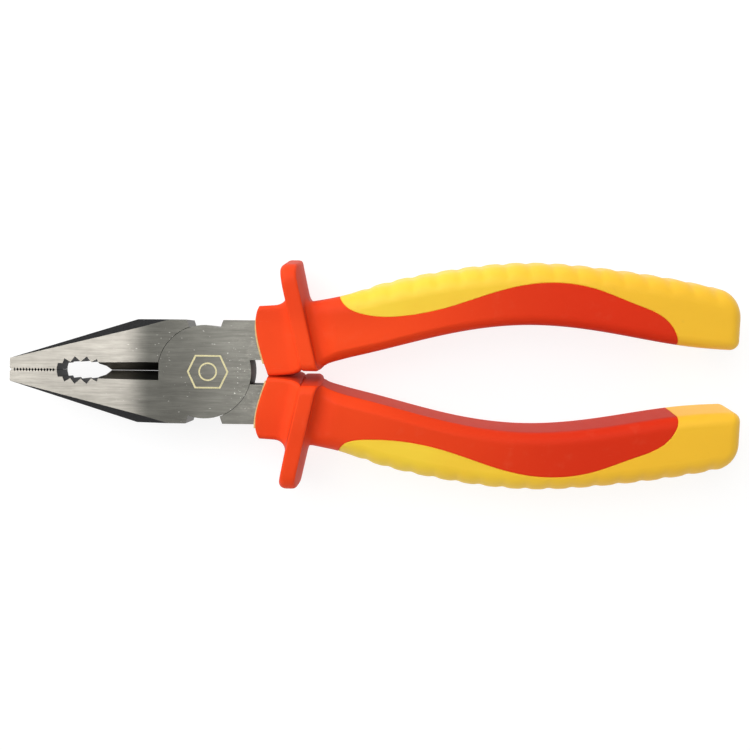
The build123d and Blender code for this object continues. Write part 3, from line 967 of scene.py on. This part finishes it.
def floor_finish():
    """Pale matt paper, lit a little from within so that it stays even."""
    f = Finish("Pale floor", 0.9, specular=0.1)
    fibre = f.noise(900.0, 3.0, 0.6)
    colour = f.mix(fibre, (0.20, 0.20, 0.20), (0.22, 0.22, 0.22))
    f.shader.inputs["Emission Color"].default_value = (1, 1, 1, 1)
    f.shader.inputs["Emission Strength"].default_value = 0.85
    return f.finish(colour, f.spread(fibre, 0.85, 0.95), f.bump(fibre, 0.00001, 0.1))


def dress(piece, material):
    """Gives a CAD node or a piece one material."""
    piece.data.materials.clear()
    piece.data.materials.append(material)


# ---- operators
class PLIERS_OT_steel(bpy.types.Operator):
    """Finish the two forged levers and the pivot rivet"""
    bl_idname = "pliers.steel"
    bl_label = "Steel levers and rivet"

    def execute(self, context):
        material = steel_finish(context.scene.pliers_finish)
        for name in ("fixed_lever", "moving_lever", "pivot_rivet"):
            dress(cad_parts[name], material)
        return {"FINISHED"}


class PLIERS_OT_liners(bpy.types.Operator):
    """Finish the insulating liners whose lips show at the sleeves' mouths"""
    bl_idname = "pliers.liners"
    bl_label = "Liners"

    def execute(self, context):
        material = liner_finish(context.scene.pliers_finish)
        for half in HALVES:
            dress(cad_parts[f"{half}_liner"], material)
        return {"FINISHED"}


class PLIERS_OT_handles(bpy.types.Operator):
    """Build the moulded sleeves with their guards, and the soft ribbed grips"""
    bl_idname = "pliers.handles"
    bl_label = "Sleeves and grips"

    def execute(self, context):
        scene = context.scene
        red = sleeve_finish(scene.pliers_finish)
        yellow = grip_finish(scene.pliers_finish)
        skin = Moulding(scene.pliers_handle, scene.pliers_guard).build()
        sleeve, grip = half_meshes(skin, scene.pliers_seam)
        skin.free()
        tree = rib_tree(yellow)
        ribs = scene.pliers_ribs
        values = {"Start": ribs.start / MM, "Pitch": ribs.pitch / MM, "Depth": ribs.depth,
                  "Count": ribs.count}
        for half in HALVES:
            turned = half == "moving"
            body = mesh_object(f"{half}_sleeve_moulding", sleeve[0], sleeve[1], turned=turned)
            dress(body, red)
            soft = mesh_object(f"{half}_grip_overmould", grip[0], grip[1], turned=turned,
                               attributes=zip(LAYERS[1:], grip[2:]))
            apply_tree(soft, tree, values)
            for name in LAYERS[1:]:
                soft.data.attributes.remove(soft.data.attributes[name])
            for piece, node, slot in ((body, f"{half}_sleeve", "sleeve_red"),
                                      (soft, f"{half}_grip", "grip_yellow")):
                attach(piece, f"{half}_half")
                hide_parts(node)
        return {"FINISHED"}


class PLIERS_OT_mark(bpy.types.Operator):
    """Lay the generic etched mark on the joint"""
    bl_idname = "pliers.mark"
    bl_label = "Etched mark"

    def execute(self, context):
        m = context.scene.pliers_mark
        line, half_x, half_y = m.line / MM, m.length / MM / 2, m.width / MM / 2
        centre, ring = m.centre / MM, m.ring / MM
        low, high = HEAD_TOP - 0.01, HEAD_TOP + m.proud / MM
        shoulder = half_x * 0.62
        corners = np.array([(half_x, 0), (shoulder, half_y), (-shoulder, half_y), (-half_x, 0),
                            (-shoulder, -half_y), (shoulder, -half_y)])
        shrink = np.array([1 - line / half_x * 1.25, 1 - line / half_y])
        turns = np.linspace(0, 2 * pi, 64, endpoint=False)
        circle = np.stack([np.cos(turns), np.sin(turns)], axis=1)
        points, faces = [], []
        for outer, inner in ((corners, corners * shrink),
                             (circle * ring, circle * (ring - line))):
            start, count = len(points), len(outer)
            for loop, z in ((outer, low), (outer, high), (inner, high), (inner, low)):
                points += [(centre + px, py, z) for px, py in loop]
            for level in range(4):
                for i in range(count):
                    j = (i + 1) % count
                    a, b = start + level * count, start + (level + 1) % 4 * count
                    faces.append([a + i, a + j, b + j, b + i])
        piece = mesh_object("etched_mark", points, faces, sharp=30.0)
        dress(piece, mark_finish(context.scene.pliers_finish))
        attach(piece, "fixed_half")
        return {"FINISHED"}


class PLIERS_OT_stage(bpy.types.Operator):
    """Set the floor, the soft light and the camera"""
    bl_idname = "pliers.stage"
    bl_label = "Stage"

    def execute(self, context):
        s, scene = context.scene.pliers_stage, context.scene
        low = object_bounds()[0].z
        bpy.ops.mesh.primitive_circle_add(vertices=96, radius=FLOOR_RADIUS, fill_type="NGON",
                                          location=(0, 0, 0))
        floor = context.active_object
        floor.name = "floor"
        floor.data.transform(Matrix.Translation((0.05, 0, low - FLOOR_GAP)))
        dress(floor, floor_finish())
        floor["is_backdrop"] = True

        world = bpy.data.worlds.new("Even sky")
        scene.world = world
        world.use_nodes = True
        nodes, links = world.node_tree.nodes, world.node_tree.links
        sky = nodes["Background"]
        sky.inputs["Color"].default_value = (1, 1, 1, 1)
        height = nodes.new("ShaderNodeSeparateXYZ")
        fade = nodes.new("ShaderNodeMapRange")
        for socket, value in zip(("From Min", "From Max", "To Min", "To Max"),
                                 (*HORIZON, 1.0, s.fill)):
            fade.inputs[socket].default_value = value
        links.new(nodes.new("ShaderNodeTexCoord").outputs["Generated"], height.inputs[0])
        links.new(height.outputs["Z"], fade.inputs["Value"])
        links.new(fade.outputs[0], sky.inputs["Strength"])

        for name, place, size, share in LAMPS:
            lamp = bpy.data.lights.new(name, "AREA")
            lamp.energy = s.key * share
            lamp.size = size
            light = bpy.data.objects.new(name, lamp)
            light.location = place
            aim = Vector(LAMP_TARGET) - Vector(place)
            light.rotation_euler = aim.to_track_quat("-Z", "Y").to_euler()
            scene.collection.objects.link(light)

        lens = bpy.data.cameras.new("camera")
        lens.lens = lens.sensor_width / (s.view_width / s.distance)
        lens.shift_x, lens.shift_y = LENS_SHIFT
        lens.clip_start, lens.clip_end = 0.01, 20.0
        camera = bpy.data.objects.new("camera", lens)
        camera.location = (s.foot_x, s.foot_y, MIDDLE * MM + s.distance)
        camera.rotation_euler = (0, 0, s.turn)
        scene.collection.objects.link(camera)
        scene.camera = camera
        scene.view_settings.view_transform = "Standard"
        return {"FINISHED"}


class PLIERS_PT_panel(bpy.types.Panel):
    """The pliers' pieces and stage in the sidebar"""
    bl_idname = "PLIERS_PT_panel"
    bl_label = "Insulated pliers"
    bl_space_type = "VIEW_3D"
    bl_region_type = "UI"
    bl_category = "Pliers"

    def draw(self, context):
        layout = self.layout
        for operator in OPERATORS:
            layout.operator(operator.bl_idname)
        for name in GROUPS:
            group = getattr(context.scene, name)
            box = layout.box()
            box.label(text=name.replace("pliers_", "").capitalize())
            for key in group.__annotations__:
                box.prop(group, key)


GROUPS = {"pliers_handle": PLIERS_PG_handle, "pliers_guard": PLIERS_PG_guard,
          "pliers_ribs": PLIERS_PG_ribs, "pliers_seam": PLIERS_PG_seam,
          "pliers_finish": PLIERS_PG_finish, "pliers_mark": PLIERS_PG_mark,
          "pliers_stage": PLIERS_PG_stage}
OPERATORS = (PLIERS_OT_steel, PLIERS_OT_liners, PLIERS_OT_handles, PLIERS_OT_mark,
             PLIERS_OT_stage)


def register():
    for item in (*GROUPS.values(), *OPERATORS, PLIERS_PT_panel):
        bpy.utils.register_class(item)
    for name, group in GROUPS.items():
        setattr(bpy.types.Scene, name, PointerProperty(type=group))


def unregister():
    for name in GROUPS:
        delattr(bpy.types.Scene, name)
    for item in (PLIERS_PT_panel, *OPERATORS, *GROUPS.values()):
        bpy.utils.unregister_class(item)


def main():
    register()
    bpy.ops.pliers.steel()
    bpy.ops.pliers.liners()
    bpy.ops.pliers.handles()
    bpy.ops.pliers.mark()
    bpy.ops.pliers.stage()


if __name__ == "__main__":
    main()
